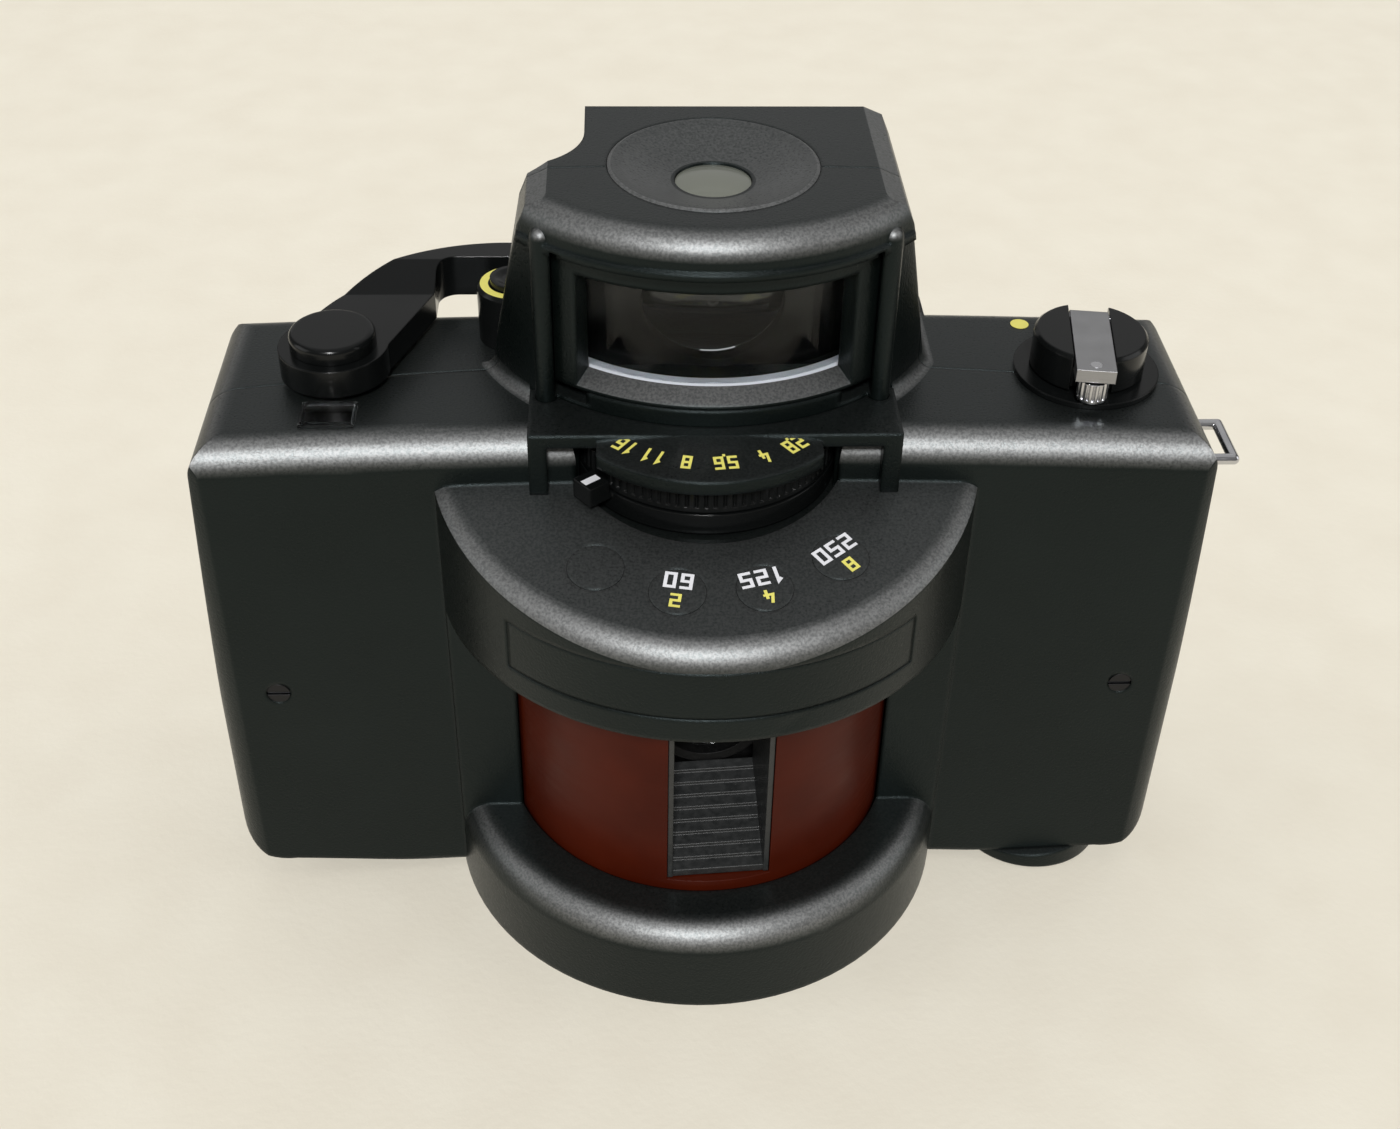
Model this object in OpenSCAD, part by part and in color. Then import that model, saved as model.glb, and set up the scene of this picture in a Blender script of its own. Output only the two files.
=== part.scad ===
// Swing-lens panoramic camera for 35 mm film: a moulded casing with a drum hood and an optical finder,
// a turning lens drum, a curved film gate, and the wind, release and rewind controls.
// The origin is the mouth of the tripod bush, under the drum axis. Front is -Y, up is +Z.

/* [Casing] */
// Width across the wings at their widest
body_w = 149.5; // [145:0.5:153]
// How far each side leans in between its widest level and the deck
side_draft = 2.5; // [1:0.1:3.5]
// Height of the deck above the table
deck_z = 85.4; // [84:0.1:88]
// Front face of the wings, ahead of the drum axis
wing_front = 9.5; // [9:0.1:10]
// Back face of the wings, behind the drum axis
wing_back = 28.5; // [28:0.1:30]
// Radius of the bow that carries the wings forward at their ends
wing_bow_r = 950; // [800:10:1400]
// Height of the wings' underside beside the base pad
wing_base_z = 1.5; // [1.2:0.1:2]
// Rise of the wings' underside toward their ends
base_rise = 4; // [2:0.25:5]
// Rounding of the long edges along the deck
edge_r = 5; // [4:0.25:6]
// Rounding of the long edges along the base
base_edge_r = 1.5; // [1:0.1:2]
// Rounding of the lower corners, seen from the front
side_base_r = 8; // [6:0.5:10]
// Rounding of the front upright corners
corner_front_r = 6; // [5:0.5:7]
// Rounding of the back upright corners
corner_back_r = 9; // [8:0.5:10]
// Wall of the casing
wall = 2.2; // [1.8:0.1:2.4]
// Seam between the front and the rear shell, behind the drum axis
seam_y = 10.2; // [9:0.1:11.5]
// Radius of the seam's bow
seam_bow_r = 360; // [330:5:420]

/* [Hood and skirt] */
// Radius of the hood and the skirt around the drum axis
hood_r = 39.9; // [39:0.1:42]
// Lower edge of the hood
hood_z = 56; // [55.5:0.1:56.5]
// Height that the sloping hood top would reach at the drum axis
hood_axis_z = 80.4; // [80:0.1:81]
// Slope of the hood top, in degrees
hood_tilt = 13.1; // [12:0.1:14]
// Rounding of the hood's upper edge
hood_edge_r = 4.5; // [3:0.25:5]
// Top of the skirt
skirt_z = 16; // [15.6:0.1:16.6]
// Rounding of the skirt's upper edge
skirt_edge_r = 4.5; // [3:0.25:5]
// Wall beside the drum, ahead of the drum axis
recess_y = 11.4; // [11:0.1:13]
// Bare name strip: lower edge
strip_z = 60; // [59:0.25:61]
// Bare name strip: height
strip_h = 8.3; // [6:0.1:9]
// Bare name strip: half angle around the hood, in degrees
strip_half_angle = 45; // [40:1:60]

/* [Drum] */
// Radius of the turning drum
drum_r = 30.2; // [29.8:0.1:30.3]
// Height of the lens axis
lens_z = 36; // [35.5:0.1:36.5]
// Width of the drum's front window
window_w = 15.8; // [13:0.2:17]
// Height of the drum's front window
window_h = 37; // [34:0.5:38]
// How far the drum is turned at rest, in degrees
drum_rest = 4; // [-10:1:10]
// Ribs on each ramp of the baffle
baffle_ribs = 9; // [6:1:10]
// Radius of the lens barrel
barrel_r = 9; // [8.4:0.1:9.6]

/* [Finder] */
// Height of the finder roof
roof_z = 117; // [116:0.1:119]
// Half width of the finder at its roof
finder_top_w = 26.8; // [26:0.1:28]
// Half width of the finder at the deck
finder_base_w = 32; // [31:0.1:33]
// Sideways offset of the finder from the drum axis
finder_x = 0.9; // [0:0.1:1.5]
// Radius of the visor's front, seen from above
visor_r = 36; // [35.5:0.1:36.5]
// How far the sill stands back from the visor
sill_back = 1.4; // [1:0.1:2]
// Centre of the finder's front arc, behind the drum axis
finder_arc_y = 24.7; // [24.4:0.1:25]
// Back of the finder, behind the drum axis
finder_back = 30; // [29.5:0.1:31]
// Half width of the finder window
finder_win_w = 22.4; // [21.6:0.1:22.6]
// Sill height of the finder window
finder_win_z = 90; // [89:0.1:91]
// Height of the visor over the finder window
visor_h = 6; // [5:0.1:7]
// Radius of the level dish
dish_r = 14.7; // [13:0.1:15]
// Centre of the level dish, behind the drum axis
dish_y = 11; // [10:0.1:12]

/* [Dials] */
// Radius of the speed ring and the aperture ring
ring_r = 19; // [18.5:0.1:19.2]
// Lower face of the speed ring
ring_z = 75.8; // [75.6:0.1:76]
// Height of the speed ring
speed_h = 3.2; // [3:0.1:3.4]
// Height of the aperture ring
aperture_h = 4.2; // [4:0.1:4.4]
// Radius of the fixed hub inside the rings
dial_hub_r = 12; // [10:0.1:13]
// Radius of the number tongue
tongue_r = 21.7; // [21:0.1:22.5]
// Radius on which the speed marks lie
mark_ring_r = 29.5; // [28.5:0.1:30]
// Radius of one speed mark
mark_r = 3.9; // [3:0.1:4.2]
// Angle between speed marks, in degrees
mark_pitch = 23.15; // [21:0.05:24]
// Angle of the speed lever at rest, in degrees from +X
lever_rest = -141; // [-143:0.5:-139]
// Angle of the first speed mark, in degrees from +X
mark_first = -122.5; // [-124:0.5:-120]

/* [Wind and release] */
// Axis of the wind lever and the take-up spool, in from the widest side
wind_inset = 21.35; // [20:0.05:22]
// Axis of the wind lever, behind the drum axis
wind_y = 7.3; // [7:0.1:8]
// Radius of the wind lever's hub
wind_hub_r = 7.9; // [7:0.1:8.5]
// Height of the wind lever's arm
wind_arm_h = 4.2; // [3.5:0.1:4.5]
// Radius of the wind shaft
wind_shaft_r = 3; // [2.5:0.1:3.2]
// Axis of the release button, from the axis of the wind lever
release_step = [25.4, 11.7];
// Height of the release collar above the deck
release_h = 8.8; // [7:0.1:10]
// Radius of the release collar
release_collar_r = 5.4; // [5:0.1:5.8]
// Radius of the release button
release_r = 3.4; // [3:0.1:3.8]
// Axis of the film sprocket
sprocket_pos = [-37.8, 15.5];

/* [Rewind] */
// Axis of the rewind knob and the film cassette, in from the widest side
rewind_inset = 18.25; // [17.5:0.05:19]
// Axis of the rewind knob, behind the drum axis
rewind_y = 7.5; // [7:0.1:8]
// Radius of the rewind knob
knob_r = 8.3; // [7.8:0.1:9]
// Height of the rewind knob
knob_h = 5.6; // [5:0.1:6.5]
// Radius of the rewind shaft
rewind_shaft_r = 3; // [2.6:0.1:3.2]
// Width of the folding crank
crank_w = 5.6; // [4.6:0.1:6]
// Radius of the crank's grip
grip_r = 2.2; // [1.8:0.1:2.4]
// Turn of the knob at rest, in degrees
knob_rest = -8; // [-20:1:20]
// Axis of the film roller
roller_pos = [37.8, 15.5];

/* [Back and base] */
// Lower edge of the back door
door_z = 8; // [7:0.1:9]
// Height of the back door
door_h = 70; // [69:0.5:71]
// Axis of the door hinge, in from the widest side
hinge_inset = 7.5; // [7:0.1:8]
// How far the door hinge stands behind the back's end
hinge_proud = 1.84; // [1.7:0.02:2]
// Radius of the hinge knuckles
knuckle_r = 2.2; // [2:0.1:2.4]
// Wall of the door's round film back
film_back_t = 1.9; // [1.6:0.1:2.2]
// Radius of the tripod thread's bore
tripod_r = 2.55; // [2.4:0.05:3.2]
// Depth of the tripod thread
tripod_depth = 6; // [5:0.25:6.2]
// Centre of the foot under the film side, in from the widest side
foot_inset = 17.75; // [16:0.25:19]
// Centre of that foot, behind the drum axis
foot_y = -0.5; // [-1:0.1:0]
// Radius of that foot
foot_r = 12.3; // [10:0.1:13]

/* [Clearances] */
// Radial clearance of turning and sliding fits
running_gap = 0.06; // [0.03:0.01:0.09]
// Gap between pieces that are fixed together
seat_gap = 0.1; // [0.05:0.05:0.15]
// Gap between pieces that pass each other
free_gap = 0.4; // [0.3:0.05:0.5]

/* [Hidden] */
$fn = 96;
far = 120;
half_w = body_w / 2;
side_wide_z = 30;
bow_sag = half_w * half_w / (2 * wing_bow_r);
bow_angle = 2 * asin((half_w + edge_r) / wing_bow_r);
bow_steps = 720;
base_slope = atan(base_rise / (half_w - hood_r));
// places that follow the width of the casing
wind_pos = [wind_inset - half_w, wind_y];
release_pos = wind_pos + release_step;
rewind_pos = [half_w - rewind_inset, rewind_y];
hinge_pos = [hinge_inset - half_w, wing_back - bow_sag + hinge_proud];
foot_pos = [max(half_w - foot_inset, hood_r + foot_r + free_gap), foot_y];
// drum chamber and chassis levels
chassis_t = 2;
chassis_floor_z = skirt_z - 5.4;
chassis_roof_z = hood_z + 2.6;
chamber_z = chassis_floor_z + chassis_t;
drum_gap = 0.6;
drum_z0 = chamber_z + 1.2;
drum_z1 = chassis_roof_z - 1;
drum_wall = 1.6;
bearing_r = 4;
bearing_flange_r = 5;
bearing_flange_t = 0.6;
journal_r = 3;
// film gate
gate_in_r = drum_r + 0.5;
gate_t = 1;
gate_r = gate_in_r + gate_t;
gate_z0 = chamber_z + seat_gap;
gate_z1 = chassis_roof_z - seat_gap;
gate_half_angle = 63;
frame_h = 24;
frame_half_angle = 60;
film_back_r = gate_r + 0.5;
film_back_z0 = chassis_floor_z - 0.6;
film_back_z1 = chassis_roof_z + chassis_t + 3.4;
post_half_angle = 65.4;
// drive train under the drum
gear_m = 0.8;
drum_teeth = 36;
barrel_teeth = 30;
gear_z = chassis_floor_z - 3.6;
gear_t = 2;
gear_gap = 0.12;
barrel_dir = 20;
barrel_dist = gear_m * (drum_teeth + barrel_teeth) / 2 + gear_gap;
barrel_pos = barrel_dist * [cos(barrel_dir), sin(barrel_dir)];
barrel_axle_r = 1.5;
// dials
well_t = 1.2;
well_in_r = ring_r + 0.6;
well_r = well_in_r + well_t;
well_floor_t = 2.2;
well_floor_z = ring_z - 0.6;
aperture_z = ring_z + speed_h + free_gap;
plate_z = deck_z + seat_gap;
plate_t = 2;
plate_front = 12;
plate_half_w = 26;
leg_w = 2.6;
leg_back = wing_front + pow(plate_half_w + finder_x, 2) / (2 * wing_bow_r) + seat_gap;
tongue_w = 15.6;
tongue_drop = 1.2;
mark_t = 0.6;
mark_count = 4;
strip_t = 0.45;
// finder
sill_r = visor_r - sill_back;
visor_edge_r = 4;
visor_lip = [0.5, 1.2];
finder_win_h = roof_z - visor_h - finder_win_z;
flare_r = 2.5;
bead_r = 1.5;
bead_pos = [23.6, -1.9];
bead_z = roof_z - 3 - bead_r;
dish_pos = [finder_x, dish_y];
finder_z0 = deck_z - 0.1;
finder_floor_z = deck_z + 2.6;
finder_ceiling_z = roof_z - 5.5;
finder_wall = 2.2;
notch_r = 11;
notch_y = release_pos[1] + 2;
finder_mid_y = 9.8;
finder_axis_z = (finder_floor_z + finder_ceiling_z) / 2;
bezel_t = 3.2;
eye_r = 0.306 * (finder_ceiling_z - finder_floor_z);
inner_lens_r = 0.42 * (finder_ceiling_z - finder_floor_z);
eye_cup_r = 9.5;
eye_cup_l = 4;
dish_depth = 4;
vial_r = 5.3;
// wind lever
wind_z = deck_z + 1.2;
wind_tip_h = 2.4;
wind_cap_r = 6.2;
wind_cap_h = 2.4;
counter_r = 13.6;
counter_t = 1.6;
counter_z = deck_z - wall - free_gap - counter_t;
counter_win = [7.2, 5.4];
counter_win_y = -3.4;
// rewind
collar_h = 0.9;
collar_r = 10.6;
knob_z = deck_z + collar_h + free_gap;
knob_top = knob_z + knob_h;
crank_t = 2;
crank_z = knob_top - crank_t;
crank_pivot = 5.5;
crank_reach = 11.2;
grip_at = 9.5;
crank_pin_r = 0.6;
slot_gap = 0.2;
catch_z = chassis_roof_z + chassis_t + 5.4;
catch_t = 1.5;
catch_reach = wing_back - rewind_y - 7;
// release
stem_r = 1.6;
release_proud = 1;
stem_guide_h = 8;
spring_r = 2.45;
spring_wire_r = 0.3;
spring_turns = 7;
// sprocket and roller
sprocket_r = 6.05;
sprocket_tooth_h = 0.8;
spool_r = norm(wind_pos - sprocket_pos) - sprocket_r - sprocket_tooth_h - free_gap;
perforation_row = 14;
trunnion_r = 1.5;
roller_r = 4;
// door
door_x0 = hinge_pos[0] + 3.1;
door_x1 = half_w - corner_back_r - 0.5;
door_cut_y = 14;
pin_r = 1;
knuckle_z = [10, 22, 60, 72];
// fasteners and trim
screw_inset = 10.05;
screw_pos = [half_w - screw_inset, 40.7];
screw_head_r = 1.75;
staple_y = [-7.5, 1.5];
staple_z = deck_z - edge_r - 0.6;
staple_wire_r = 0.8;
staple_out = 3.6;
bush_r = 5.5;
bush_flange_r = bush_r + 1.5;
boss_r = 3.5;
boss_inset = 13.5;
boss_x = half_w - boss_inset;
boss_y = [-2, 14];
base_button_r = 3;

black = [0.09, 0.09, 0.1];
brown = [0.3, 0.1, 0.05];
steel = [0.75, 0.76, 0.78];
clear = [0.75, 0.85, 0.9, 0.5];

// Everything ahead of a plane across the camera
module ahead_of(y) {
    translate([-far, y - 2 * far, -far]) cube([2 * far, 2 * far, 4 * far]);
}

// Upright cylinder between two levels
module post(pos, r, z0, z1) {
    translate([pos[0], pos[1], z0]) cylinder(r = r, h = z1 - z0);
}

// Upright tube between two levels
module tube(pos, r, bore, z0, z1) {
    translate([pos[0], pos[1], z0]) linear_extrude(z1 - z0) difference() {
        circle(r);
        circle(bore);
    }
}

// Box between two corners
module box(a, b) {
    translate(a) cube(b - a);
}

// Height of the wings' underside at a distance from the middle
function base_at(x) = wing_base_z + max(0, abs(x) - hood_r) * tan(base_slope);

// Long profile of the wings, with broad roundings along the deck and small ones along the base
module wing_profile(d) {
    x0 = wing_bow_r + d;
    x1 = wing_bow_r + wing_front + wing_back - d;
    z0 = wing_base_z + d;
    z1 = deck_z - d;
    top_r = edge_r - d;
    low_r = max(base_edge_r - d, 0.5);
    translate([x0 + top_r, deck_z / 2]) square([x1 - x0 - 2 * top_r, z1 - deck_z / 2]);
    translate([x0, z0 + low_r]) square([x1 - x0, z1 - top_r - z0 - low_r]);
    translate([x0 + low_r, z0]) square([x1 - x0 - 2 * low_r, deck_z / 2]);
    for (x = [x0 + top_r, x1 - top_r]) translate([x, z1 - top_r]) circle(top_r);
    for (x = [x0 + low_r, x1 - low_r]) translate([x, z0 + low_r]) circle(low_r);
}

// Wings: the long profile swept along the bow, d is how far inside the outer skin
module wing_sweep(d) {
    translate([0, -wing_front - wing_bow_r, 0])
        rotate([0, 0, 90 - bow_angle / 2])
            rotate_extrude(angle = bow_angle, $fn = bow_steps) wing_profile(d);
}

// Wings seen from the front, with the underside rising toward the ends
module wing_front_view(d) {
    low_w = half_w - d;
    top_w = half_w - side_draft - d;
    low_r = side_base_r - d;
    top_r = edge_r - d;
    z0 = wing_base_z + d / cos(base_slope);
    z1 = deck_z - d;
    blend = 0.1;
    corner = [low_w - low_r, z0 + (low_w - low_r - hood_r) * tan(base_slope) + low_r - blend];
    side = [[hood_r / 2, z0 - hood_r / 2 * tan(base_slope)], corner - [0, low_r - blend], [low_w, corner[1]],
            [low_w, side_wide_z], [top_w, z1 - top_r], [top_w - top_r, z1]];
    polygon(concat(side, [for (i = [len(side) - 1:-1:0]) [-side[i][0], side[i][1]]]));
    for (s = [-1, 1]) {
        translate([s * corner[0], corner[1]]) circle(low_r);
        translate([s * (top_w - top_r), z1 - top_r]) circle(top_r);
    }
}

// Wings seen from above, with the rounded upright corners
module wing_plan(d) {
    w = half_w - d;
    front = -wing_front - bow_sag + d;
    back = wing_back - bow_sag - d;
    front_r = corner_front_r - d;
    back_r = corner_back_r - d;
    translate([-(w - back_r), -far]) square([2 * (w - back_r), 2 * far]);
    translate([-(w - front_r), -far]) square([2 * (w - front_r), far + front + front_r]);
    translate([-w, front + front_r]) square([2 * w, back - back_r - front - front_r]);
    for (s = [-1, 1]) {
        translate([s * (w - front_r), front + front_r]) circle(front_r);
        translate([s * (w - back_r), back - back_r]) circle(back_r);
    }
}

module wing_block(d) {
    intersection() {
        wing_sweep(d);
        rotate([90, 0, 0]) linear_extrude(2 * far, center = true) wing_front_view(d);
        linear_extrude(far) wing_plan(d);
    }
}

// Frame whose XY plane is the sloping hood top
module on_hood_top() {
    translate([0, 0, hood_axis_z]) rotate([hood_tilt, 0, 0]) children();
}

// Solid under the sloping hood top, with its rounded edge
module hood_cap() {
    flat_r = (hood_r - hood_edge_r * (1 - sin(hood_tilt))) / cos(hood_tilt);
    end = [flat_r + hood_edge_r * cos(hood_tilt), hood_edge_r * (sin(hood_tilt) - 1)];
    flare = far / 2 * [sin(hood_tilt), -cos(hood_tilt)];
    on_hood_top() rotate_extrude() {
        polygon([[0, 0], [flat_r, 0], end, end + flare, [0, end[1] + flare[1]]]);
        translate([flat_r, -hood_edge_r]) circle(hood_edge_r);
    }
}

module hood() {
    intersection() {
        post([0, 0], hood_r, hood_z, deck_z);
        hood_cap();
        ahead_of(0);
    }
}

module skirt() {
    base_r = 1;
    intersection() {
        rotate_extrude() {
            square([hood_r - skirt_edge_r, skirt_z]);
            translate([0, base_r]) square([hood_r, skirt_z - skirt_edge_r - base_r]);
            translate([0, 0]) square([hood_r - base_r, skirt_z / 2]);
            translate([hood_r - skirt_edge_r, skirt_z - skirt_edge_r]) circle(skirt_edge_r);
            translate([hood_r - base_r, base_r]) circle(base_r);
        }
        ahead_of(0);
    }
}

// Walls beside the drum, and the flat base pad
module drum_block() {
    difference() {
        intersection() {
            post([0, 0], hood_r, skirt_z / 2, hood_z + 1);
            ahead_of(0);
        }
        ahead_of(-recess_y);
    }
    intersection() {
        post([0, 0], hood_r, 0, wing_base_z + 1);
        ahead_of(wing_back - edge_r);
    }
}

// Outline across the finder: leaning sides with a concave flare at the deck and rounded roof edges
module finder_side_view() {
    lean = atan((finder_base_w - finder_top_w) / (roof_z - visor_edge_r - finder_z0));
    flare = [finder_base_w - flare_r * tan(lean) + flare_r / cos(lean) - 0.1, finder_z0 + flare_r + 0.05];
    side = [[finder_base_w, finder_z0], [finder_top_w, roof_z - visor_edge_r],
            [finder_top_w - visor_edge_r * 0.3, roof_z - visor_edge_r * 0.3], [finder_top_w - visor_edge_r, roof_z]];
    polygon(concat(side, [for (i = [len(side) - 1:-1:0]) [-side[i][0], side[i][1]]]));
    for (s = [-1, 1]) difference() {
        polygon([[s * finder_top_w, finder_z0], [s * flare[0], finder_z0], [s * flare[0], flare[1]],
                 [s * finder_top_w, flare[1]]]);
        translate([s * flare[0], flare[1]]) circle(flare_r);
    }
}

// Round bead on each front edge of the finder
module finder_beads(gap) {
    for (s = [-1, 1]) {
        post([finder_x + s * bead_pos[0], bead_pos[1]], bead_r + gap, finder_z0, bead_z);
        translate([finder_x + s * bead_pos[0], bead_pos[1], bead_z]) sphere(bead_r + gap);
    }
}

// Finder housing: a front arc under a rounded visor, leaning sides and a notch beside the release
module finder_block() {
    visor_z = finder_win_z + finder_win_h;
    difference() {
        intersection() {
            translate([finder_x, finder_arc_y, 0]) {
                rotate_extrude() {
                    translate([0, finder_z0]) square([sill_r, visor_z - finder_z0]);
                    translate([0, visor_z - seat_gap]) square([visor_r, roof_z - visor_edge_r - visor_z + seat_gap]);
                    translate([0, visor_z - seat_gap]) square([visor_r + visor_lip[0], visor_lip[1]]);
                    translate([0, visor_z]) square([visor_r - visor_edge_r, roof_z - visor_z]);
                    translate([visor_r - visor_edge_r, roof_z - visor_edge_r]) circle(visor_edge_r);
                }
                difference() {
                    rotate_extrude() translate([0, finder_z0]) difference() {
                        square([sill_r + flare_r - 0.1, flare_r + 0.05]);
                        translate([sill_r + flare_r - 0.1, flare_r + 0.05]) circle(flare_r);
                    }
                    box([-plate_half_w - seat_gap, -far, 0], [plate_half_w + seat_gap, 0, far]);
                }
            }
            translate([finder_x, 0, 0]) rotate([90, 0, 0]) linear_extrude(2 * far, center = true) finder_side_view();
            ahead_of(finder_back);
        }
        post([release_pos[0], notch_y], notch_r, 0, far);
        box([-far, notch_y, 0], [release_pos[0] + notch_r, far, far]);
    }
    finder_beads(0);
}

// Hollow inside the finder, open through the front window
module finder_hollow() {
    x0 = finder_x - finder_win_w;
    x1 = finder_x + finder_win_w;
    box([x0, -far, finder_win_z], [x1, finder_mid_y, finder_win_z + finder_win_h]);
    box([x0, -sill_r + finder_arc_y + 5, finder_floor_z], [x1, finder_mid_y, finder_ceiling_z]);
    box([release_pos[0] + notch_r + finder_wall, finder_mid_y - 1, finder_floor_z],
        [finder_x + finder_top_w - finder_wall * 2, finder_back - finder_wall, finder_ceiling_z]);
}

// Place of each speed mark on the sloping hood top
module at_marks() {
    for (i = [0:mark_count - 1]) {
        a = mark_first + i * mark_pitch;
        on_hood_top() translate([mark_ring_r * cos(a), mark_ring_r * sin(a) / cos(hood_tilt), 0]) children();
    }
}

// Place of the two front screws, on the bowed front face
module at_front_screws() {
    sag = screw_pos[0] * screw_pos[0] / (2 * wing_bow_r);
    for (s = [-1, 1])
        translate([s * screw_pos[0], -wing_front - sag, screw_pos[1]]) rotate([90, 0, 0]) children();
}

// Bores and pockets in the casing for what is fitted to it
module casing_cuts() {
    post(wind_pos, wind_shaft_r + free_gap, deck_z - 2 * wall, deck_z + 1);
    post(rewind_pos, rewind_shaft_r + free_gap, deck_z - 2 * wall, deck_z + 1);
    post(release_pos, release_r + running_gap, deck_z - 2 * wall, deck_z + 1);
    translate([wind_pos[0] - counter_win[0] / 2, counter_win_y - counter_win[1] / 2, deck_z - 2 * wall])
        cube([counter_win[0], counter_win[1], 3 * wall]);
    post([0, 0], bush_r + seat_gap / 2, -1, wall + 1);
    post([0, 0], bush_flange_r + seat_gap / 2, wall, 3 * wall);
    post(sprocket_pos, base_button_r + running_gap, -1, wing_base_z + wall + 1);
    at_marks() translate([0, 0, -mark_t]) cylinder(r = mark_r + seat_gap / 2, h = mark_t + 1);
    at_front_screws() {
        translate([0, 0, -1]) cylinder(r = screw_head_r + seat_gap / 2, h = 2);
        translate([0, 0, -2 * wall]) cylinder(r = screw_head_r * 0.6 + seat_gap / 2, h = 2 * wall);
    }
    rotate([0, 0, -90 - strip_half_angle]) rotate_extrude(angle = 2 * strip_half_angle)
        translate([hood_r - strip_t - seat_gap / 2, strip_z]) square([2, strip_h]);
    post(dish_pos, dish_r + seat_gap, roof_z - dish_depth, roof_z + 1);
    translate([finder_x, finder_back + 1, finder_axis_z]) rotate([90, 0, 0])
        cylinder(r = eye_r + seat_gap / 2, h = finder_wall + 2);
    for (y = staple_y)
        translate([half_w - 3 * wall, y, staple_z]) rotate([0, 90, 0]) cylinder(r = staple_wire_r + seat_gap / 2, h = 4 * wall);
}

// The whole hollow casing before it is split into shells and door
module casing() {
    hood_roof_t = 3;
    difference() {
        union() {
            difference() {
                union() {
                    wing_block(0);
                    hood();
                    skirt();
                    drum_block();
                }
                post([0, 0], well_r + seat_gap, well_floor_z - well_floor_t - seat_gap, deck_z + 1);
            }
            finder_block();
        }
        wing_block(wall);
        post([0, 0], drum_r + drum_gap, skirt_z - 2 * wall, hood_z + 2 * wall);
        intersection() {
            post([0, 0], hood_r - wall, wall, skirt_z - wall);
            ahead_of(0);
        }
        intersection() {
            post([0, 0], hood_r - 1.6 * wall, hood_z + wall, far);
            translate([0, 0, -hood_roof_t]) hood_cap();
            ahead_of(0);
        }
        finder_hollow();
        casing_cuts();
    }
    for (s = [-1, 1], y = boss_y) post([s * boss_x, y], boss_r, base_at(boss_x) + wall / 2, chassis_floor_z - seat_gap);
}

// Everything in front of the seam, grown by a gap
module seam_front(gap) {
    translate([0, seam_y - seam_bow_r, -1]) cylinder(r = seam_bow_r + gap, h = 2 * far, $fn = bow_steps);
}

// The part of the casing's back that the door takes, grown by a gap
module door_zone(gap) {
    box([door_x0 - gap, door_cut_y, door_z - gap], [door_x1 + gap, far, door_z + door_h + gap]);
}

module front_shell() {
    color(black) intersection() {
        casing();
        seam_front(0);
    }
}

module knuckle(z0, z1, leaf_to) {
    leaf_t = 2;
    difference() {
        union() {
            post(hinge_pos, knuckle_r, z0, z1);
            box([min(leaf_to, hinge_pos[0]), hinge_pos[1] - leaf_t - 0.4, z0], [max(leaf_to, hinge_pos[0]), hinge_pos[1] - 0.4, z1]);
        }
        post(hinge_pos, pin_r + running_gap, z0 - 1, z1 + 1);
    }
}

module rear_shell() {
    color(black) {
        difference() {
            casing();
            seam_front(seat_gap);
            door_zone(free_gap);
            post(hinge_pos, knuckle_r + free_gap, knuckle_z[1], knuckle_z[2]);
            box([hinge_pos[0], hinge_pos[1] - knuckle_r - 2 * free_gap, knuckle_z[1]], [door_x0, far, knuckle_z[2]]);
            post(hinge_pos, pin_r + running_gap, knuckle_z[0] - 1, knuckle_z[3] + 1);
        }
        knuckle(knuckle_z[0], knuckle_z[1], hinge_pos[0] - knuckle_r);
        knuckle(knuckle_z[2], knuckle_z[3], hinge_pos[0] - knuckle_r);
    }
}

module back_door() {
    color(black) {
        difference() {
            union() {
                intersection() {
                    difference() {
                        wing_block(0);
                        wing_block(wall);
                    }
                    door_zone(0);
                }
                difference() {
                    post([0, 0], film_back_r + film_back_t, film_back_z0 - film_back_t, film_back_z1 + film_back_t);
                    ahead_of(wing_back - wall - 1);
                }
                box([rewind_pos[0] - 1.5, wing_back - 9, catch_z - 4.4], [rewind_pos[0] + 1.5, wing_back - wall, catch_z - 2.9]);
            }
            post([0, 0], film_back_r, film_back_z0, film_back_z1);
            post(hinge_pos, knuckle_r + free_gap, 0, knuckle_z[1]);
            post(hinge_pos, knuckle_r + free_gap, knuckle_z[2], far);
        }
        knuckle(knuckle_z[1] + free_gap, knuckle_z[2] - free_gap, door_x0 + 1);
    }
}

module hinge_pin() {
    color(steel) post(hinge_pos, pin_r, knuckle_z[0], knuckle_z[3]);
}

// One plate of the chassis, seen from above
module chassis_plate() {
    plate_w = half_w - 7.5;
    front = wing_front - wall - free_gap;
    circle(gate_r);
    translate([-plate_w, -front]) square([2 * plate_w, front + wing_back - 6]);
}

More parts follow.
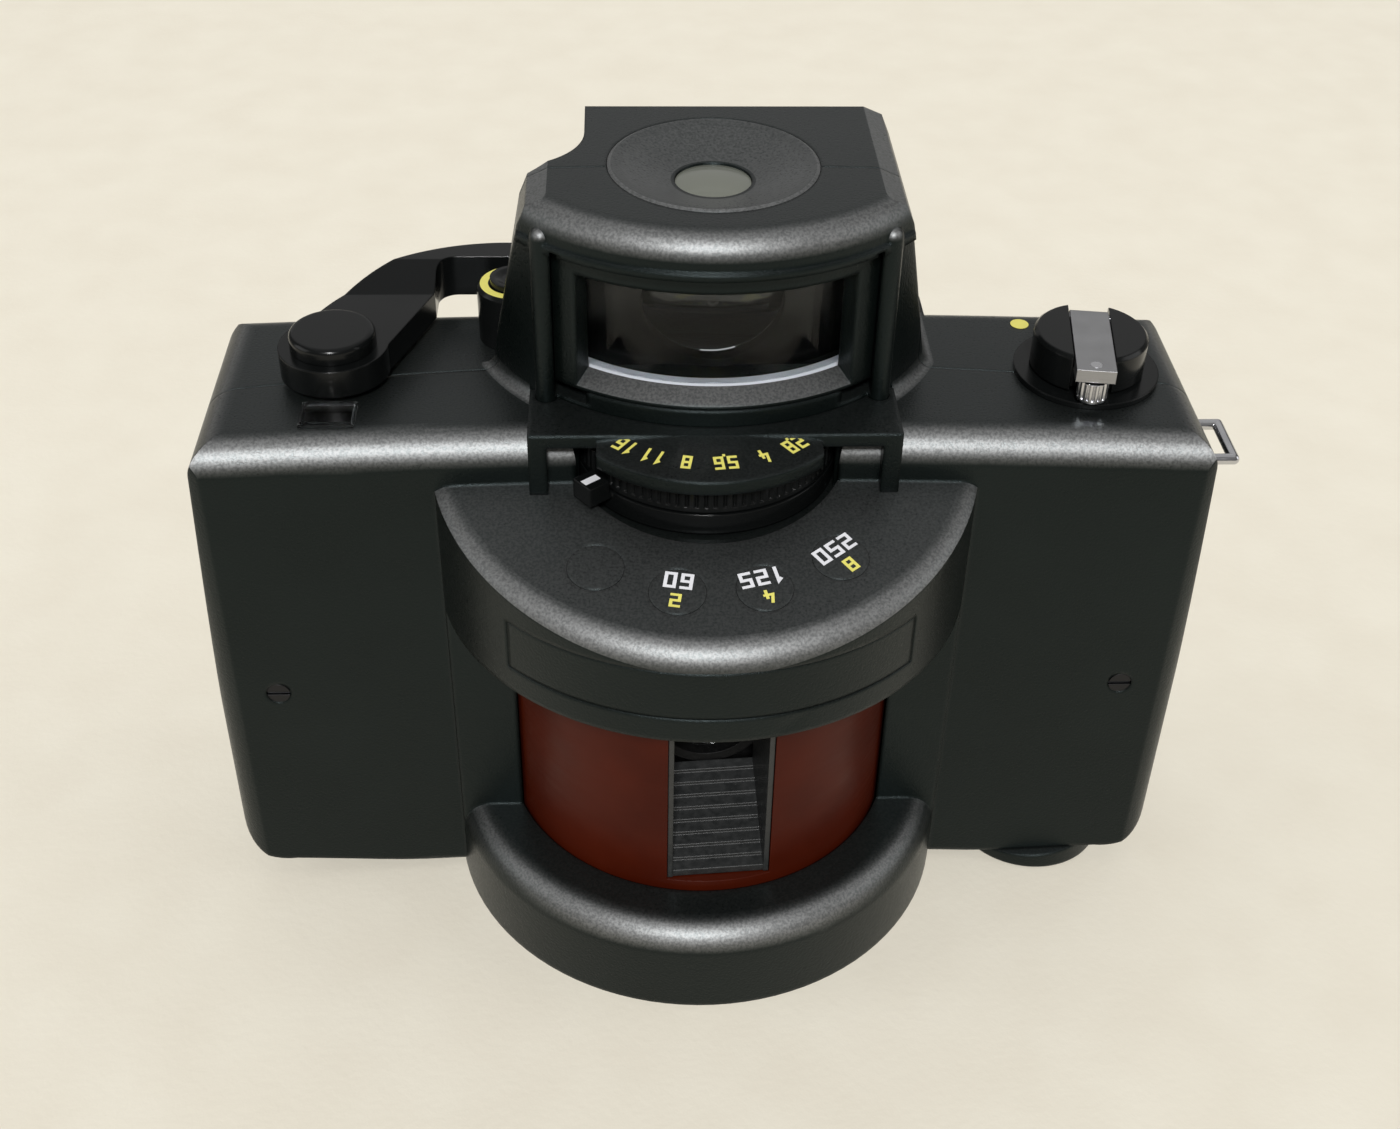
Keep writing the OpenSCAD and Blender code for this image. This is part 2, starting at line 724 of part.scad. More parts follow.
module chassis() {
    inner_wall_x = gate_r + 1.3;
    inner_wall_t = 1.5;
    front = wing_front - wall - free_gap;
    roof_top = chassis_roof_z + chassis_t;
    color([0.2, 0.2, 0.22]) difference() {
        union() {
            for (z = [chassis_floor_z, chassis_roof_z]) translate([0, 0, z]) linear_extrude(chassis_t) chassis_plate();
            for (s = [-1, 1]) {
                box([s * inner_wall_x - inner_wall_t / 2, -front, chamber_z - 0.5],
                    [s * inner_wall_x + inner_wall_t / 2, 8.5, chassis_roof_z + 0.5]);
                rotate([0, 0, 90 + s * post_half_angle]) translate([gate_in_r, -1.2, chamber_z - 0.5])
                    cube([2.6, 2.4, chassis_roof_z - chamber_z + 1]);
            }
            post(release_pos, stem_r * 2, roof_top - 0.5, roof_top + stem_guide_h);
        }
        for (z = [chassis_floor_z, chassis_roof_z]) post([0, 0], bearing_r + seat_gap / 2, z - 1, z + chassis_t + 1);
        post(barrel_pos, barrel_axle_r + seat_gap / 2, chassis_floor_z - 1, chamber_z + 1);
        post(wind_pos, trunnion_r + running_gap, chassis_floor_z - 1, chamber_z + 1);
        post(wind_pos, wind_shaft_r + running_gap, chassis_roof_z - 1, roof_top + 1);
        for (p = [sprocket_pos, roller_pos], z = [chassis_floor_z, chassis_roof_z])
            post(p, trunnion_r + running_gap, z - 1, z + chassis_t + 1);
        post(rewind_pos, rewind_shaft_r + running_gap, chassis_roof_z - 1, roof_top + 1);
        post(release_pos, stem_r + running_gap, chassis_roof_z - 1, roof_top + stem_guide_h + 1);
    }
}

module film_gate() {
    color(steel) difference() {
        rotate([0, 0, 90 - gate_half_angle]) rotate_extrude(angle = 2 * gate_half_angle)
            translate([gate_in_r, gate_z0]) square([gate_t, gate_z1 - gate_z0]);
        rotate([0, 0, 90 - frame_half_angle]) rotate_extrude(angle = 2 * frame_half_angle)
            translate([gate_in_r - 1, lens_z - frame_h / 2]) square([gate_t + 2, frame_h]);
    }
}

// Flanged bush in a chassis plate, the flange faces the drum
module bearing(z, flange_z) {
    tube([0, 0], bearing_r, journal_r + running_gap, z, z + chassis_t);
    tube([0, 0], bearing_flange_r, journal_r + running_gap, flange_z, flange_z + bearing_flange_t);
}

module lower_bearing() {
    color("peru") bearing(chassis_floor_z, chamber_z);
}

module upper_bearing() {
    color("peru") bearing(chassis_roof_z, chassis_roof_z - bearing_flange_t);
}

module tripod_bush() {
    flange_t = 1.5;
    color("goldenrod") difference() {
        union() {
            post([0, 0], bush_r, 0, wall + 0.4);
            post([0, 0], bush_flange_r, wall + seat_gap, wall + flange_t);
            post([0, 0], bush_r - 1, wall, tripod_depth + 0.6);
        }
        post([0, 0], tripod_r, -1, tripod_depth);
    }
}

// Round foot that reaches up to the rising underside
module base_foot() {
    rim = 0.4;
    seat = 0.2;
    top = base_at(half_w);
    color(black) difference() {
        translate([foot_pos[0], foot_pos[1], 0]) {
            cylinder(r1 = foot_r - rim, r2 = foot_r, h = rim);
            translate([0, 0, rim]) cylinder(r = foot_r, h = top - rim);
        }
        rotate([90, 0, 0]) linear_extrude(2 * far, center = true)
            polygon([[hood_r, wing_base_z - seat], [half_w, top - seat], [half_w, far], [hood_r, far]]);
    }
}

module strap_staple() {
    x1 = half_w - side_draft + staple_out;
    x0 = half_w - side_draft - wall;
    color(steel) {
        for (y = staple_y) translate([x0, y, staple_z]) rotate([0, 90, 0]) cylinder(r = staple_wire_r, h = x1 - x0);
        for (y = staple_y) translate([x1, y, staple_z]) sphere(staple_wire_r);
        translate([x1, staple_y[0], staple_z]) rotate([-90, 0, 0]) cylinder(r = staple_wire_r, h = staple_y[1] - staple_y[0]);
    }
}

module front_screws() {
    slot_w = 0.6;
    color([0.3, 0.3, 0.32]) at_front_screws() difference() {
        union() {
            translate([0, 0, -0.9]) cylinder(r = screw_head_r, h = 0.9);
            translate([0, 0, -2 * wall + 0.5]) cylinder(r = screw_head_r * 0.6, h = 2 * wall - 1);
        }
        translate([-screw_head_r * 2, -slot_w / 2, -0.5]) cube([screw_head_r * 4, slot_w, 1]);
    }
}

module name_strip() {
    edge = 0.2;
    color(black) rotate([0, 0, -90 - strip_half_angle + edge]) rotate_extrude(angle = 2 * (strip_half_angle - edge))
        translate([hood_r - strip_t, strip_z + seat_gap / 2]) square([strip_t - seat_gap, strip_h - seat_gap]);
}

module speed_marks() {
    color(black) at_marks() translate([0, 0, -mark_t]) cylinder(r = mark_r, h = mark_t + 0.05);
}

// Cup under the deck in which the rings turn, open at the front
module dial_well() {
    color(black) {
        post([0, 0], well_r, well_floor_z - well_floor_t, well_floor_z);
        difference() {
            tube([0, 0], well_r, well_in_r, well_floor_z - 0.1, finder_z0 - seat_gap);
            ahead_of(-wing_front + wall);
        }
    }
}

module dial_hub() {
    color(black) post([0, 0], dial_hub_r, well_floor_z, plate_z - tongue_drop - free_gap);
}

// Ring that turns on the dial hub
module dial_ring(z0, z1) {
    tube([0, 0], ring_r, dial_hub_r + running_gap, z0, z1);
}

module speed_ring() {
    tip_r = 22.8;
    tip_w = 3.8;
    tip_z = ring_z + speed_h - 0.9;
    tip_h = 3;
    color(black) {
        dial_ring(ring_z, ring_z + speed_h);
        rotate([0, 0, lever_rest]) {
            box([ring_r - 2, -tip_w / 2, tip_z], [tip_r, tip_w / 2, ring_z + speed_h]);
            box([ring_r + free_gap, -tip_w / 2, tip_z], [tip_r, tip_w / 2, tip_z + tip_h]);
        }
    }
}

module aperture_ring() {
    knurls = 90;
    knurl_d = 0.25;
    color(black) difference() {
        dial_ring(aperture_z, aperture_z + aperture_h);
        for (i = [0:knurls - 1]) rotate([0, 0, i * 360 / knurls])
            translate([ring_r, 0, aperture_z + 0.8]) rotate([0, 0, 45]) translate([-knurl_d, -knurl_d, 0])
                cube([2 * knurl_d, 2 * knurl_d, aperture_h]);
    }
}

// Shelf under the finder: number tongue in the middle, a leg at each end down to the hood top
module scale_bracket() {
    leg_x = plate_half_w - leg_w / 2;
    color(black) difference() {
        union() {
            box([finder_x - plate_half_w, -plate_front, plate_z], [finder_x + plate_half_w, 0, plate_z + plate_t]);
            for (s = [-1, 1])
                box([finder_x + s * leg_x - leg_w / 2, -plate_front, ring_z - 2],
                    [finder_x + s * leg_x + leg_w / 2, -leg_back, plate_z + 1]);
            intersection() {
                rotate_extrude() polygon([[0, plate_z - tongue_drop], [tongue_r, plate_z - tongue_drop],
                                          [tongue_r, plate_z + plate_t - tongue_drop], [plate_front, plate_z + plate_t],
                                          [0, plate_z + plate_t]]);
                box([-tongue_w, -far, 0], [tongue_w, -leg_back, far]);
            }
        }
        translate([finder_x, finder_arc_y, 0]) cylinder(r = sill_r + seat_gap, h = far, $fn = 180);
        translate([0, 0, seat_gap]) hood_cap();
        finder_beads(seat_gap);
    }
}

// Sector of a tube around the finder's front arc
module finder_arc(r0, r1, half, z0, z1) {
    intersection() {
        translate([finder_x, finder_arc_y, 0]) tube([0, 0], r1, r0, z0, z1);
        box([finder_x - half, -far, z0], [finder_x + half, 0, z1]);
    }
}

// Frame of the window: a tunnel that narrows toward the lens, over a sloping sill
module finder_bezel() {
    gap = seat_gap;
    half_angle = 34;
    lip = 2.8;
    sill_in = 2;
    sill_out = 0.5;
    z0 = finder_win_z + gap;
    z1 = finder_win_z + finder_win_h - gap;
    r0 = sill_r - bezel_t;
    r1 = sill_r - 0.2;
    rise = (sill_in - sill_out) / (r1 - r0);
    color(black) difference() {
        finder_arc(r0, r1, finder_win_w - gap, z0, z1);
        translate([finder_x, finder_arc_y, 0]) rotate([0, 0, -90 - half_angle]) rotate_extrude(angle = 2 * half_angle)
            polygon([[r0 - 1, z0 + sill_in + rise], [r1 + 1, z0 + sill_out - rise], [r1 + 1, z1 - lip], [r0 - 1, z1 - lip]]);
    }
}

// Front lens: bowed like the bezel from side to side, hollow from top to bottom
module finder_front_lens() {
    half_angle = 40;
    edge_t = 2.8;
    hollow_r = 80;
    hollow_d = 1.2;
    z0 = finder_win_z + 0.6;
    z1 = finder_win_z + finder_win_h - 0.6;
    hollow_z = finder_win_z + 5.8;
    front_r = sill_r - bezel_t - seat_gap;
    color(clear) translate([finder_x, finder_arc_y, 0]) rotate([0, 0, -90 - half_angle])
        rotate_extrude(angle = 2 * half_angle) difference() {
            translate([front_r - edge_t, z0]) square([edge_t, z1 - z0]);
            translate([front_r - hollow_d + hollow_r, hollow_z]) circle(hollow_r, $fn = 720);
        }
}

// Wall across the finder with a raised rim around the inner lens
module finder_inner_frame() {
    frame_t = 2;
    rim_t = 1.2;
    rim_w = 1.5;
    frame_y = finder_mid_y - frame_t - 2;
    color(black) difference() {
        union() {
            box([finder_x - finder_win_w + seat_gap, frame_y, finder_floor_z + seat_gap],
                [finder_x + finder_win_w - seat_gap, frame_y + frame_t, finder_ceiling_z - seat_gap]);
            translate([finder_x, frame_y + 0.1, finder_axis_z]) rotate([90, 0, 0])
                cylinder(r = inner_lens_r + rim_w, h = rim_t + 0.1);
        }
        translate([finder_x, far, finder_axis_z]) rotate([90, 0, 0]) cylinder(r = inner_lens_r + seat_gap, h = 2 * far);
    }
}

// Lens that is thicker in the middle, on the finder axis
module round_lens(r, edge_t, bulge, y) {
    ball_r = (r * r + bulge * bulge) / (2 * bulge);
    translate([finder_x, y, finder_axis_z]) rotate([90, 0, 0]) intersection() {
        cylinder(r = r, h = edge_t + bulge);
        translate([0, 0, edge_t + bulge - ball_r]) sphere(ball_r);
    }
}

module finder_inner_lens() {
    edge_t = 2;
    bulge = 2.2;
    color(clear) round_lens(inner_lens_r, edge_t, bulge, finder_mid_y - 1);
}

module eyepiece_ring() {
    tube_t = 1.2;
    color(black) translate([finder_x, finder_back, finder_axis_z]) rotate([-90, 0, 0]) difference() {
        union() {
            translate([0, 0, -finder_wall - 1]) cylinder(r = eye_r, h = finder_wall + 1.5);
            translate([0, 0, seat_gap]) cylinder(r = eye_cup_r, h = eye_cup_l);
        }
        translate([0, 0, -finder_wall - 2]) cylinder(r = eye_r - tube_t, h = finder_wall + 3);
        translate([0, 0, 0.5]) cylinder(r1 = eye_r - tube_t, r2 = eye_cup_r - tube_t, h = eye_cup_l);
    }
}

module eyepiece_lens() {
    tube_t = 1.2;
    color(clear) round_lens(eye_r - tube_t - seat_gap, 1.2, 0.8, finder_back - 0.4);
}

module level_dish() {
    rim = 0.5;
    floor_z = roof_z - dish_depth;
    color(black) translate([dish_pos[0], dish_pos[1], 0]) rotate_extrude()
        polygon([[vial_r + seat_gap, floor_z], [dish_r, floor_z], [dish_r, roof_z], [dish_r - rim, roof_z + rim / 2],
                 [dish_r - 2, roof_z - 0.2], [vial_r + 0.6, floor_z + 1.6], [vial_r + seat_gap, floor_z + 1.6]]);
}

module level_vial() {
    vial_h = 1.3;
    bulge = 0.8;
    ball_r = (vial_r * vial_r + bulge * bulge) / (2 * bulge);
    color(clear) translate([dish_pos[0], dish_pos[1], roof_z - dish_depth]) intersection() {
        cylinder(r = vial_r, h = vial_h + bulge);
        translate([0, 0, vial_h + bulge - ball_r]) sphere(ball_r);
    }
}

// Frame that turns with the drum, its -Y is the way the lens looks
module drum_frame() {
    rotate([0, 0, drum_rest]) children();
}

module drum_shell() {
    slit_w = 1.6;
    color(brown) drum_frame() difference() {
        post([0, 0], drum_r, drum_z0, drum_z1);
        post([0, 0], drum_r - drum_wall, drum_z0 + drum_wall, drum_z1 - drum_wall);
        post([0, 0], journal_r + seat_gap / 2, drum_z0 - 1, drum_z1 + 1);
        box([-window_w / 2, -2 * drum_r, lens_z - window_h / 2], [window_w / 2, -drum_r / 2, lens_z + window_h / 2]);
        box([-slit_w / 2, drum_r / 2, lens_z - frame_h / 2], [slit_w / 2, 2 * drum_r, lens_z + frame_h / 2]);
    }
}

// Funnel behind the drum window: ribbed ramps above and below, plain cheeks beside
module drum_baffle() {
    w = window_w / 2 - seat_gap;
    half_h = window_h / 2 - seat_gap;
    front = -sqrt(drum_r * drum_r - w * w) + 0.3;
    back = -barrel_r - 4.7;
    cheek = 0.8;
    sole = 0.8;
    ramp_rise = half_h - sole - barrel_r + 0.4;
    step = (back - front) / baffle_ribs;
    rise = ramp_rise / baffle_ribs;
    rib = 0.5;
    ramp = concat([[back - 0.1, 0.1 - half_h], [front + 0.1, 0.1 - half_h]],
                  [for (i = [0:baffle_ribs - 1], k = [0, 1])
                      [front + 0.1 + i * step, sole - half_h + i * rise + k * rib]],
                  [[back - 0.1, sole - half_h + ramp_rise]]);
    color(black) drum_frame() translate([0, 0, lens_z]) {
        for (s = [0, 1]) mirror([0, 0, s])
            rotate([90, 0, 90]) linear_extrude(2 * w - cheek, center = true) polygon(ramp);
        for (s = [-1, 1]) box([s * (w - cheek / 2) - cheek / 2, front, -half_h], [s * (w - cheek / 2) + cheek / 2, back, half_h]);
    }
}

module lens_barrel() {
    board_t = 2;
    front = -barrel_r - 4.6;
    board_y = -3.6;
    color([0.15, 0.15, 0.16]) drum_frame() difference() {
        union() {
            translate([0, board_y, lens_z]) rotate([90, 0, 0]) cylinder(r = barrel_r, h = board_y - front);
            intersection() {
                box([-far, board_y, drum_z0 + drum_wall + seat_gap], [far, board_y + board_t, drum_z1 - drum_wall - seat_gap]);
                post([0, 0], drum_r - drum_wall - seat_gap, drum_z0, drum_z1);
            }
        }
        translate([0, board_y + board_t + 1, lens_z]) rotate([90, 0, 0])
            cylinder(r = barrel_r - 3.2, h = board_t + 2 + board_y - front);
        translate([0, front + 4, lens_z]) rotate([90, 0, 0]) cylinder(r = barrel_r - 1.6, h = 5);
        post([0, 0], journal_r + 1, drum_z0, drum_z0 + drum_wall + 3);
        post([0, 0], journal_r + 1, drum_z1 - drum_wall - 3, drum_z1);
    }
}

module lens_front() {
    front = -barrel_r - 4.6;
    r = barrel_r - 1.6 - seat_gap / 2;
    bulge = 1.6;
    ball_r = (r * r + bulge * bulge) / (2 * bulge);
    color(clear) drum_frame() translate([0, front + 4 - seat_gap / 2, lens_z]) rotate([90, 0, 0]) intersection() {
        cylinder(r = r, h = 2 + bulge);
        translate([0, 0, 2 + bulge - ball_r]) sphere(ball_r);
    }
}

module lens_rear() {
    rim = 3.2;
    lens_t = 2;
    color(clear) drum_frame() translate([0, -lens_t, lens_z]) rotate([90, 0, 0])
        cylinder(r = barrel_r - rim - seat_gap / 2, h = lens_t);
}

// Tapered chute that carries the image from the lens to the rear slit
module light_chute() {
    mouth = [12, 14];
    slit = [4, 25.5];
    chute_t = 1;
    y0 = -1.4;
    y1 = drum_r - drum_wall - 0.3;
    color(black) drum_frame() translate([0, 0, lens_z]) difference() {
        hull() {
            translate([0, y0, 0]) cube([mouth[0], 0.1, mouth[1]], center = true);
            translate([0, y1 - 0.1, 0]) cube([slit[0], 0.1, slit[1]], center = true);
        }
        hull() {
            translate([0, y0 - 0.1, 0]) cube([mouth[0] - 2 * chute_t, 0.1, mouth[1] - 2 * chute_t], center = true);
            translate([0, y1 + 0.1, 0]) cube([slit[0] - 2 * chute_t, 0.1, slit[1] - 2 * chute_t], center = true);
        }
    }
}

module drum_journals() {
    color(steel) {
        post([0, 0], journal_r, gear_z, drum_z0 + drum_wall);
        post([0, 0], journal_r, drum_z1 - drum_wall, chassis_roof_z + chassis_t + 2);
    }
}

// Spur gear outline with straight-sided teeth and room between meshing flanks
function gear_points(teeth, m) =
    let (pr = teeth * m / 2, half = 90 / teeth * 0.84)
    [for (i = [0:teeth - 1], k = [-1, -0.45, 0.45, 1])
        let (r = abs(k) == 1 ? pr - 0.9 * m : pr + 0.75 * m, a = i * 360 / teeth + half * k * (abs(k) == 1 ? 1.45 : 1.2))
        r * [cos(a), sin(a)]];

module drum_gear() {
    color("goldenrod") translate([0, 0, gear_z]) linear_extrude(gear_t) difference() {
        rotate(barrel_dir) polygon(gear_points(drum_teeth, gear_m));
        circle(journal_r + seat_gap / 2);
    }
}

module spring_barrel() {
    turn = barrel_dir + 180 + 180 / barrel_teeth;
    drum_h = 5.6;
    body_r = gear_m * barrel_teeth / 2 - 1.8;
    color("goldenrod") translate([barrel_pos[0], barrel_pos[1], 0]) difference() {
        union() {
            translate([0, 0, gear_z]) linear_extrude(gear_t) rotate(turn) polygon(gear_points(barrel_teeth, gear_m));
            translate([0, 0, chassis_floor_z - free_gap - drum_h]) cylinder(r = body_r, h = drum_h);
        }
        translate([0, 0, -1]) cylinder(r = barrel_axle_r + running_gap, h = far);
    }
}

module barrel_axle() {
    head_t = 0.6;
    z0 = chassis_floor_z - free_gap - 5.6 - 0.3;
    color(steel) {
        post(barrel_pos, barrel_axle_r, z0, chamber_z);
        post(barrel_pos, barrel_axle_r * 1.6, z0 - head_t, z0);
    }
}

// Outline of the wind lever's arm from its axis: an arc back past the deck edge, hollowed for the thumb
module wind_arm_outline() {
    bend = [23.75, -3.7];
    bend_r = 29.75;
    thumb = [13.4, 21.6];
    thumb_r = 3;
    tip_x = 32.9;
    circle(wind_hub_r);
    difference() {
        intersection() {
            translate(bend) circle(bend_r);
            translate([-wind_hub_r, 0]) square([tip_x + wind_hub_r, 2 * bend_r]);
        }
        polygon([[wind_hub_r - 0.3, -1], [thumb[0], thumb[1] - 7], [thumb[0], thumb[1] - thumb_r],
                 [thumb[0] + thumb_r, thumb[1]], [2 * tip_x, thumb[1]], [2 * tip_x, -1]]);
        translate([thumb[0] + thumb_r, thumb[1] - thumb_r]) circle(thumb_r);
    }
}

// Lever that rises along a ramp to a thumb rest behind the deck
module wind_lever() {
    ramp_start = [0, 14.2];
    ramp_slope = 20;
    color(black) translate([wind_pos[0], wind_pos[1], wind_z]) difference() {
        union() {
            linear_extrude(wind_arm_h) wind_arm_outline();
            intersection() {
                translate([0, 0, wind_arm_h - 0.1]) linear_extrude(wind_tip_h + 0.1) wind_arm_outline();
                translate([ramp_start[0], ramp_start[1], wind_arm_h]) rotate([ramp_slope, 0, 0])
                    box([-far, 0, -far], [far, far, 0]);
            }
        }
        translate([0, 0, -1]) cylinder(r = wind_shaft_r + seat_gap / 2, h = far);
    }
}

module wind_cap() {
    top_r = 0.8;
    z = wind_z + wind_arm_h;
    color(black) translate([wind_pos[0], wind_pos[1], z]) rotate_extrude() {
        square([wind_cap_r, wind_cap_h - top_r]);
        square([wind_cap_r - top_r, wind_cap_h]);
        translate([wind_cap_r - top_r, wind_cap_h - top_r]) circle(top_r);
    }
}

module wind_shaft() {
    color(steel) post(wind_pos, wind_shaft_r, chassis_roof_z + 1.2, wind_z + wind_arm_h);
}

module take_up_spool() {
    flange_t = 1.4;
    core_r = 0.58 * spool_r;
    z0 = chamber_z + free_gap;
    z1 = chassis_roof_z - free_gap;
    slot_w = 1.2;
    color(black) difference() {
        union() {
            post(wind_pos, core_r, z0, z1);
            post(wind_pos, spool_r, z0, z0 + flange_t);
            post(wind_pos, spool_r, z1 - flange_t, z1);
            post(wind_pos, trunnion_r, chassis_floor_z + 0.3, z0 + 1);
            post(wind_pos, wind_shaft_r, z1 - 1, chassis_roof_z + 0.8);
        }
        translate([wind_pos[0] - slot_w / 2, wind_pos[1] - core_r * 2, lens_z - 6]) cube([slot_w, core_r * 4, 12]);
    }
}

module film_sprocket() {
    teeth = 8;
    tooth_w = 1.6;
    row_t = 4;
    z0 = chamber_z + free_gap;
    z1 = chassis_roof_z - free_gap;
    color(steel) {
        post(sprocket_pos, sprocket_r - 1.6, z0, z1);
        post(sprocket_pos, trunnion_r, chassis_floor_z + 0.3, z0 + 1);
        post(sprocket_pos, trunnion_r, z1 - 1, chassis_roof_z + chassis_t - 0.3);
        for (s = [-1, 1]) translate([sprocket_pos[0], sprocket_pos[1], lens_z + s * perforation_row]) {
            translate([0, 0, -row_t / 2]) cylinder(r = sprocket_r, h = row_t);
            for (i = [0:teeth - 1]) rotate([0, 0, i * 360 / teeth])
                translate([0, -tooth_w / 2, -tooth_w / 2]) cube([sprocket_r + sprocket_tooth_h, tooth_w, tooth_w]);
        }
    }
}

module counter_dial() {
    color("white") tube(wind_pos, counter_r, wind_shaft_r + running_gap, counter_z, counter_z + counter_t);
}

module counter_window() {
    frame_t = 0.8;
    rim = 0.6;
    color(clear) translate([wind_pos[0], counter_win_y, 0]) {
        translate([0, 0, deck_z - wall / 2]) linear_extrude(wall / 2 + frame_t)
            square(counter_win - [seat_gap, seat_gap], center = true);
        translate([0, 0, deck_z + 0.02]) linear_extrude(frame_t - 0.3)
            square(counter_win + [rim, rim], center = true);
    }
}

module release_collar() {
    rim = 0.5;
    color(black) translate([release_pos[0], release_pos[1], deck_z]) rotate_extrude()
        polygon([[release_r + running_gap, 0], [release_collar_r, 0], [release_collar_r, release_h - rim],
                 [release_collar_r - rim, release_h], [release_r + running_gap, release_h]]);
}

module release_button() {
    dish = 0.4;
    top = deck_z + release_h + release_proud;
    shoulder = deck_z - wall - 3;
    color(black) difference() {
        union() {
            post(release_pos, release_r, shoulder, top);
            post(release_pos, stem_r, chassis_roof_z + chassis_t + 2, shoulder + 1);
        }
        translate([release_pos[0], release_pos[1], top - dish]) cylinder(r1 = release_r * 0.5, r2 = release_r * 0.8, h = dish + 0.01);
    }
}

// Coil of round wire, closed at both ends, swept as one solid
module coil(r, wire_r, turns, h) {
    rings = turns * 12;
    sides = 6;
    points = [for (i = [0:rings], k = [0:sides - 1])
        let (a = i * 360 * turns / rings, b = k * 360 / sides, rr = r + wire_r * cos(b))
        [rr * cos(a), rr * sin(a), i * h / rings + wire_r * sin(b)]];
    skin = [for (i = [0:rings - 1], k = [0:sides - 1], t = [0, 1])
        let (a = i * sides + k, b = i * sides + (k + 1) % sides)
        t == 0 ? [a, a + sides, b] : [b, a + sides, b + sides]];
    start = [for (k = [1:sides - 2]) [0, k, k + 1]];
    finish = [for (k = [1:sides - 2]) [rings * sides, rings * sides + k + 1, rings * sides + k]];
    polyhedron(points, concat(skin, start, finish));
}

module release_spring() {
    z0 = chassis_roof_z + chassis_t + stem_guide_h + spring_wire_r + 0.1;
    z1 = deck_z - wall - 3 - spring_wire_r - 0.1;
    color(steel) translate([release_pos[0], release_pos[1], z0]) coil(spring_r, spring_wire_r, spring_turns, z1 - z0);
}

module rewind_collar() {
    color(black) tube(rewind_pos, collar_r, rewind_shaft_r + free_gap, deck_z, deck_z + collar_h);
}

// Frame that turns with the rewind knob, its -Y is the way the crank points
module knob_frame() {
    translate([rewind_pos[0], rewind_pos[1], 0]) rotate([0, 0, knob_rest]) children();
}

module rewind_knob() {
    rim = 0.5;
    slot = crank_w + 2 * slot_gap;
    color(black) knob_frame() difference() {
        translate([0, 0, knob_z]) {
            cylinder(r = knob_r, h = knob_h - rim);
            translate([0, 0, knob_h - rim - 0.01]) cylinder(r1 = knob_r, r2 = knob_r - rim, h = rim + 0.01);
        }
        box([-slot / 2, -far, crank_z - slot_gap], [slot / 2, far, far]);
        box([-slot / 2, -far, 0], [slot / 2, -grip_at + grip_r + 0.6, far]);
        post([0, 0], rewind_shaft_r + seat_gap / 2, 0, crank_z - 1);
        translate([-knob_r, crank_pivot, crank_z + crank_t / 2]) rotate([0, 90, 0]) cylinder(r = crank_pin_r + seat_gap / 2, h = 2 * knob_r);
    }
}

module rewind_shaft() {
    fork_z = chassis_roof_z - 5.4;
    fork_slot = 1.6;
    groove = [catch_z - 0.3, catch_z + catch_t + 0.3];
    color(steel) difference() {
        union() {
            post(rewind_pos, rewind_shaft_r, fork_z, crank_z - 1);
            post(rewind_pos, rewind_shaft_r + 0.9, groove[0] - 1, groove[0]);
            post(rewind_pos, rewind_shaft_r + 0.9, groove[1], groove[1] + 1);
        }
        knob_frame() box([-fork_slot / 2, -far, 0], [fork_slot / 2, far, fork_z + 4]);
    }
}

module rewind_crank() {
    color("gray") knob_frame() difference() {
        union() {
            box([-crank_w / 2, -crank_reach, crank_z], [crank_w / 2, crank_pivot, knob_top]);
            translate([-crank_w / 2, crank_pivot, crank_z + crank_t / 2]) rotate([0, 90, 0]) cylinder(r = crank_t / 2, h = crank_w);
        }
        translate([-knob_r, crank_pivot, crank_z + crank_t / 2]) rotate([0, 90, 0]) cylinder(r = crank_pin_r + running_gap, h = 2 * knob_r);
        post([0, -grip_at], 0.9 + running_gap, crank_z - 1, knob_top - 0.6);
    }
}

module crank_pin() {
    color(steel) knob_frame() translate([-knob_r * 0.72, crank_pivot, crank_z + crank_t / 2]) rotate([0, 90, 0])
        cylinder(r = crank_pin_r, h = knob_r * 1.44);
}

module crank_grip() {
    grooves = 16;
    z0 = knob_z + 0.3;
    z1 = crank_z - 0.25;
    color(steel) knob_frame() {
        difference() {
            post([0, -grip_at], grip_r, z0, z1);
            for (i = [0:grooves - 1]) translate([0, -grip_at, z0 + 0.4]) rotate([0, 0, i * 360 / grooves])
                translate([grip_r, 0, 0]) rotate([0, 0, 45]) translate([-0.2, -0.2, 0]) cube([0.4, 0.4, far]);
        }
        post([0, -grip_at], 0.9, z1 - 0.5, knob_top - 0.7);
    }
}

// Catch plate that rides in the rewind shaft's groove and holds the door from above
module door_catch() {
    arm_w = 4;
    ring = rewind_shaft_r + 2;
    tooth_t = 1.2;
    color(steel) difference() {
        union() {
            post(rewind_pos, ring, catch_z, catch_z + catch_t);
            translate([rewind_pos[0] - arm_w / 2, rewind_pos[1], catch_z]) cube([arm_w, catch_reach, catch_t]);
            translate([rewind_pos[0] - arm_w / 2, rewind_pos[1] + catch_reach - tooth_t, catch_z - 2.5])
                cube([arm_w, tooth_t, 2.6]);
        }
        post(rewind_pos, rewind_shaft_r + running_gap, 0, far);
    }
}

module film_roller() {
    z0 = chamber_z + free_gap;
    z1 = chassis_roof_z - free_gap;
    waist = 0.4;
    color(steel) {
        post(roller_pos, roller_r - waist, z0, z1);
        for (s = [-1, 1]) translate([roller_pos[0], roller_pos[1], lens_z + s * perforation_row - 2]) cylinder(r = roller_r, h = 4);
        post(roller_pos, trunnion_r, chassis_floor_z + 0.3, z0 + 1);
        post(roller_pos, trunnion_r, z1 - 1, chassis_roof_z + chassis_t - 0.3);
    }
}

module rewind_release_button() {
    head_z = wing_base_z + wall + free_gap;
    color(black) {
        post(sprocket_pos, base_button_r, wing_base_z - 0.6, head_z);
        post(sprocket_pos, base_button_r + 1, head_z, head_z + 1);
        post(sprocket_pos, trunnion_r, head_z, chassis_floor_z - 2);
    }
}

